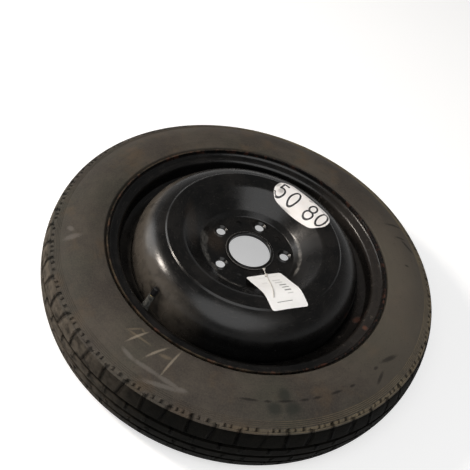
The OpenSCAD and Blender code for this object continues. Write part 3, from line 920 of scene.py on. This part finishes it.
print("rim and disc")
rim = {"middle": -50, "thickness": 2.6, "steps": 300, "arcStep": 5,
       "half": [(199.8, 29.2, 4), (201.5, 52.1, 6.5), (218.8, 52.1, 8), (218.8, 62, 0)],
       "well": [(179.7, -20.25, 5), (179.7, 20.25, 5)],
       "hole": {"bearing": -142.5, "radius": 192, "height": -24.25, "lean": 24, "size": 5.65, "depth": 24}}
disc = {"thickness": 3.4, "boreRadius": 33.3, "boreEdge": 0.6, "steps": 288, "arcStep": 5,
        "path": [(35, 1.7, 0), (72, 1.7, 5), (79.5, 11.5, 10), (111.5, 35.6, 16), (133.6, 38, 2.4),
                 (136.2, 35.9, 2.4), (176.7, 24.3, 51.5), (176.7, -58, 0)],
        "collar": [(37.7, 3.4), (36.7, 4.8), (36.7, 6.2), (36, 7), (34.1, 7), (33.3, 6.2), (33.3, 0.6)],
        "studs": 5, "studRadius": 56, "holeRadius": 7.25, "seatRise": 1.7, "seatTop": 11.2, "seatFoot": 13.4,
        "bumpRise": 1.8, "bumpTop": 0.5, "bumpFoot": 6.8, "pad": (38, 70), "padStart": 39, "padStep": 1.6,
        "padRings": 18, "cone": [(0, -2), (7.25, -2), (7.25, 2.2), (11.65, 6.2), (0, 6.2)]}


def makeRim(settings, material):
    half = settings["half"]
    path = [(r, -z, fillet) for r, z, fillet in reversed(half)] + settings["well"] + half
    offset = settings["thickness"] / 2
    outline = rounded(path, settings["arcStep"], -offset) + rounded(path, settings["arcStep"], offset)[::-1]
    bm = spunMesh([(p.x, p.y + settings["middle"]) for p in outline], settings["steps"])
    bmesh.ops.scale(bm, verts=bm.verts, vec=(millimetre,) * 3)
    piece = finishMesh(bm, "rim_rolled", material, 40)
    hole = settings["hole"]
    bm = bmesh.new()
    bmesh.ops.create_cone(bm, cap_ends=True, segments=48, radius1=hole["size"], radius2=hole["size"],
                          depth=hole["depth"])
    lean = Matrix.Rotation(math.radians(-hole["lean"]), 3, "Y")
    bmesh.ops.rotate(bm, verts=bm.verts, cent=(0, 0, 0), matrix=lean)
    bmesh.ops.translate(bm, verts=bm.verts, vec=(hole["radius"], 0, hole["height"]))
    bearing = Matrix.Rotation(math.radians(hole["bearing"]), 3, "Z")
    bmesh.ops.rotate(bm, verts=bm.verts, cent=(0, 0, 0), matrix=bearing)
    bmesh.ops.scale(bm, verts=bm.verts, vec=(millimetre,) * 3)
    carve(piece, finishMesh(bm, "valve_hole_cutter", material), 40)
    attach(piece, "wheel")
    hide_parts("rim")


def easedStep(value, low, high):
    t = min(1, max(0, (value - low) / (high - low)))
    return t * t * (3 - 2 * t)


def makeDisc(settings, material):
    offset = settings["thickness"] / 2
    padHeight = settings["thickness"]
    under = rounded(settings["path"], settings["arcStep"], -offset)[1:]
    over = rounded(settings["path"], settings["arcStep"], offset)
    start, step = settings["padStart"], settings["padStep"]
    pad = [Vector((start + step * i, padHeight)) for i in range(settings["padRings"])]
    outline = [Vector((settings["boreRadius"] + settings["boreEdge"], 0))] + under + over[:0:-1] + pad[::-1]
    outline += [Vector(p) for p in settings["collar"]]
    bm = spunMesh(outline, settings["steps"])
    pitch = 2 * math.pi / settings["studs"]
    pressings = [(0, settings["seatFoot"], settings["seatTop"], settings["seatRise"]),
                 (pitch / 2, settings["bumpFoot"], settings["bumpTop"], settings["bumpRise"])]
    inner, outer = settings["pad"]
    for vert in bm.verts:
        if abs(vert.co.z - padHeight) < 0.01 and inner < vert.co.xy.length < outer:
            angle = math.atan2(vert.co.y, vert.co.x)
            for bearing, foot, top, height in pressings:
                nearest = round((angle - bearing) / pitch) * pitch + bearing
                centre = Vector((math.cos(nearest), math.sin(nearest))) * settings["studRadius"]
                vert.co.z += height * easedStep((vert.co.xy - centre).length, foot, top)
    bmesh.ops.scale(bm, verts=bm.verts, vec=(millimetre,) * 3)
    piece = finishMesh(bm, "disc_pressed", material, 40)
    bm = bmesh.new()
    for i in range(settings["studs"]):
        one = spunMesh(settings["cone"], 48)
        bmesh.ops.translate(one, verts=one.verts, vec=(settings["studRadius"], 0, 0))
        bmesh.ops.rotate(one, verts=one.verts, cent=(0, 0, 0), matrix=Matrix.Rotation(i * pitch, 3, "Z"))
        shape = bpy.data.meshes.new("stud_hole")
        one.to_mesh(shape)
        one.free()
        bm.from_mesh(shape)
    bmesh.ops.remove_doubles(bm, verts=bm.verts, dist=0.001)
    bmesh.ops.scale(bm, verts=bm.verts, vec=(millimetre,) * 3)
    carve(piece, finishMesh(bm, "stud_hole_cutter", material), 40)
    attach(piece, "wheel")
    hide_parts("disc")
    print("disc triangles", sum(len(p.vertices) - 2 for p in piece.data.polygons))


paint = paintMaterial()
makeRim(rim, paint)
makeDisc(disc, paint)
brass = ringedMaterial("turned_brass", "#5f4f2d", "#a88f57", 0.4, 0.0008, 0.0001, 1)
redRubber = grainMaterial("seal_rubber", "#4a1c14", "#6a2c20", 0.6, 0.0008, 0.00002)
finishes = {
    "weld_beads": weldMaterial(), "speed_label": labelMaterial(),
    "valve_body": grainMaterial("valve_rubber", "#232321", "#5e5d57", 0.75, 0.004, 0.0001),
    "valve_stem": brass, "valve_core_barrel": brass, "valve_core_pin": brass,
    "valve_core_seal": redRubber, "valve_cap_seal": redRubber,
    "valve_core_cup_seal": grainMaterial("cup_rubber", "#1c1c1c", "#2b2b2b", 0.6, 0.0008, 0.00002),
    "valve_core_spring": ringedMaterial("spring_wire", "#8d8d8a", "#c4c4c0", 0.3, 0.0005, 0.0002, 1),
    "valve_cap": grainMaterial("moulded_cap", "#0c0c0d", "#1b1b1c", 0.35, 0.001, 0.00003)}
for name, material in finishes.items():
    nodes[name].data.materials.clear()
    nodes[name].data.materials.append(material)


# Floor and light

print("floor and light")

# Each lamp: name, bearing and elevation, distance, size, power and tint. The sky dims above the horizon glow.
studio = {"floorSize": 30, "floorTone": 0.8, "floorGlow": 0.456,
          "lamps": [("key", (168, 37), 2.3, 0.34, 26, "#fff4e8"),
                    ("window", (150, 20), 2.3, 1.1, 11, "#ffffff"),
                    ("fill", (-100, 58), 3.2, 3.4, 58, "#ffffff")],
          "horizon": 0.42, "zenith": 0.16, "glowTop": (12, 25)}


def makeFloor(settings):
    material, tree, shader = newMaterial("pale_floor")
    rays = add(tree, "ShaderNodeLightPath", {}).outputs
    seen = largest(tree, rays["Is Camera Ray"], rays["Is Glossy Ray"], rays["Is Transmission Ray"])
    tone = settings["floorTone"]
    shader.inputs["Base Color"].default_value = (tone, tone, tone, 1)
    shader.inputs["Roughness"].default_value = 1
    shader.inputs["Specular IOR Level"].default_value = 0
    shader.inputs["Emission Color"].default_value = (1, 1, 1, 1)
    tree.links.new(product(tree, seen, settings["floorGlow"]), shader.inputs["Emission Strength"])
    bm = bmesh.new()
    bmesh.ops.create_grid(bm, x_segments=1, y_segments=1, size=settings["floorSize"] / 2)
    bmesh.ops.translate(bm, verts=bm.verts, vec=(0, 0, cadBox[0].z))
    floor = finishMesh(bm, "floor", material)


def makeLamp(name, bearing, distance, size, power, tint):
    azimuth, elevation = (math.radians(a) for a in bearing)
    level = math.cos(elevation)
    way = (math.cos(azimuth) * level, math.sin(azimuth) * level, math.sin(elevation))
    data = bpy.data.lights.new(name, "AREA")
    data.color = colour(tint)[:3]
    data.shape = "DISK"
    data.size = size
    data.energy = power
    lamp = bpy.data.objects.new(name, data)
    lamp.matrix_world = (Matrix.Translation(unit(way) * distance)
                         @ unit(way).to_track_quat("Z", "Y").to_matrix().to_4x4())
    bpy.context.scene.collection.objects.link(lamp)


def makeSky(settings):
    world = bpy.data.worlds.new("studio")
    bpy.context.scene.world = world
    world.use_nodes = True
    tree = world.node_tree
    way = add(tree, "ShaderNodeTexCoord", {}).outputs["Generated"]
    height = add(tree, "ShaderNodeSeparateXYZ", {0: way}).outputs[2]
    low, high = (math.sin(math.radians(elevation)) for elevation in settings["glowTop"])
    overhead = rise(tree, height, low, high)
    strength = add(tree, "ShaderNodeMix", {0: overhead, 2: settings["horizon"], 3: settings["zenith"]},
                   data_type="FLOAT").outputs[0]
    tree.links.new(strength, tree.nodes["Background"].inputs["Strength"])
    tree.nodes["Background"].inputs["Color"].default_value = (1, 1, 1, 1)


makeFloor(studio)
for lamp in studio["lamps"]:
    makeLamp(*lamp)
makeSky(studio)
bpy.context.scene.view_settings.view_transform = "Standard"
